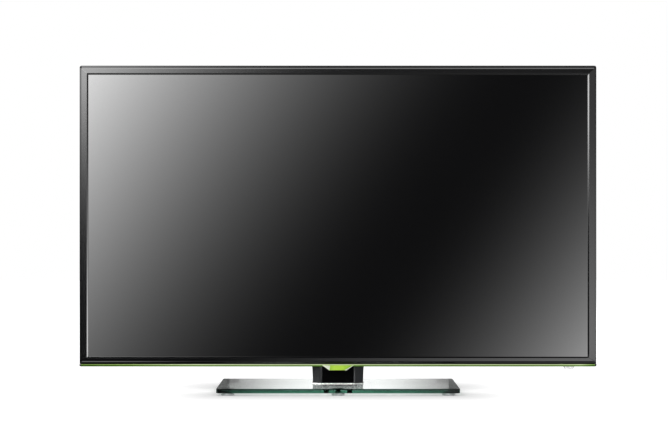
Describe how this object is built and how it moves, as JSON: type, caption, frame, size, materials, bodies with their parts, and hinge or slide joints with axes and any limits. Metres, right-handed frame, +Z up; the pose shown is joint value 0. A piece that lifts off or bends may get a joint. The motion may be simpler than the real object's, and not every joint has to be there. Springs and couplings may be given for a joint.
{
  "type": "lcd television",
  "caption": "Flat LCD television with a slim gloss black bezel, green trim strip and a short neck on a rectangular glass base.",
  "frame": {"origin": "on the surface that the feet stand on, under the middle of the glass base", "axes": "+Z up, the screen faces -Y, +X to the right as the viewer sees it"},
  "size_m": [0.962, 0.204, 0.606],
  "materials": {
    "gloss_black": "high-gloss black moulding",
    "green_acrylic": "clear green acrylic strip",
    "green_badge": "clear yellow-green faceted moulding",
    "clear_lens": "clear moulded lens",
    "circuit_board": "green solder mask",
    "power_board": "bare laminate",
    "screen": "glossy dark cell",
    "black_plastic": "moulded black",
    "zinc_steel": "zinc-plated sheet",
    "bare_aluminium": "bare",
    "led_white": "moulded white with phosphor",
    "white_film": "white sheet",
    "clear_acrylic": "clear sheet",
    "textured_black": "fine spark texture",
    "black_steel": "black oxide",
    "nickel": "nickel plate",
    "socket_blue": "moulded blue",
    "jack_colour": "coloured moulding",
    "transformer_yellow": "ferrite with tape",
    "capacitor_sleeve": "sleeved can",
    "ribbon_white": "flat cable",
    "driver_paper": "coated paper cone",
    "key_black": "satin black",
    "satin_grey": "satin dark grey lacquer",
    "chrome": "polished",
    "green_glass": "clear float glass with green edges",
    "black_rubber": "moulded",
    "grey_rubber": "translucent silicone"
  },
  "bodies": {
    "chassis": {"front_bezel": "gloss_black", "bottom_trim_strip": "green_acrylic", "trim_end_caps": "gloss_black", "trim_badge": "green_badge", "indicator_lens": "clear_lens", "receiver_board": "circuit_board", "lcd_panel": "screen", "panel_guide_frame": "black_plastic", "rear_pan": "zinc_steel", "led_bar": "bare_aluminium", "led_packages": "led_white", "optical_films": "white_film", "light_guide_plate": "clear_acrylic", "reflector_sheet": "white_film", "rear_cover": "textured_black", "cover_screws": "black_steel", "wall_mount_posts": "zinc_steel", "hdmi_sockets": "nickel", "usb_sockets": "nickel", "vga_socket": "socket_blue", "network_socket": "black_plastic", "av_jacks": "jack_colour", "headphone_jack": "black_plastic", "aerial_socket": "nickel", "mains_inlet": "black_plastic", "main_board": "circuit_board", "main_heat_sink": "bare_aluminium", "power_board": "power_board", "power_transformers": "transformer_yellow", "power_capacitors": "capacitor_sleeve", "power_heat_sinks": "bare_aluminium", "board_lead": "ribbon_white", "timing_board": "circuit_board", "source_boards": "circuit_board", "signal_ribbon": "ribbon_white", "source_cables": "ribbon_white", "speaker_left": "black_plastic", "speaker_right": "black_plastic", "speaker_drivers": "driver_paper", "key_board": "circuit_board", "key_switches": "black_plastic", "neck_shroud": "satin_grey", "neck_front_panel": "gloss_black", "neck_rear_cover": "textured_black", "foot_plate": "chrome", "neck_bracket": "black_steel", "stand_receiver": "zinc_steel", "stand_screws": "black_steel", "glass_base": "green_glass", "base_bushes": "black_rubber", "clamp_plate": "black_steel", "base_screws": "zinc_steel", "feet": "grey_rubber"},
    "key_volume_down": {"key_volume_down": "key_black"},
    "key_volume_up": {"key_volume_up": "key_black"},
    "key_channel_down": {"key_channel_down": "key_black"},
    "key_channel_up": {"key_channel_up": "key_black"},
    "key_menu": {"key_menu": "key_black"},
    "key_source": {"key_source": "key_black"},
    "key_power": {"key_power": "key_black"}
  },
  "joints": [
    {"name": "volume_down_press", "type": "slide", "parent": "chassis", "child": "key_volume_down", "axis": [0, -1, 0], "range_m": [0, 0.0008], "stiffness_N_per_m": 300, "springref_m": -0.001},
    {"name": "volume_up_press", "type": "slide", "parent": "chassis", "child": "key_volume_up", "axis": [0, -1, 0], "range_m": [0, 0.0008], "stiffness_N_per_m": 300, "springref_m": -0.001},
    {"name": "channel_down_press", "type": "slide", "parent": "chassis", "child": "key_channel_down", "axis": [0, -1, 0], "range_m": [0, 0.0008], "stiffness_N_per_m": 300, "springref_m": -0.001},
    {"name": "channel_up_press", "type": "slide", "parent": "chassis", "child": "key_channel_up", "axis": [0, -1, 0], "range_m": [0, 0.0008], "stiffness_N_per_m": 300, "springref_m": -0.001},
    {"name": "menu_press", "type": "slide", "parent": "chassis", "child": "key_menu", "axis": [0, -1, 0], "range_m": [0, 0.0008], "stiffness_N_per_m": 300, "springref_m": -0.001},
    {"name": "source_press", "type": "slide", "parent": "chassis", "child": "key_source", "axis": [0, -1, 0], "range_m": [0, 0.0008], "stiffness_N_per_m": 300, "springref_m": -0.001},
    {"name": "power_press", "type": "slide", "parent": "chassis", "child": "key_power", "axis": [0, -1, 0], "range_m": [0, 0.0008], "stiffness_N_per_m": 300, "springref_m": -0.001}
  ]
}
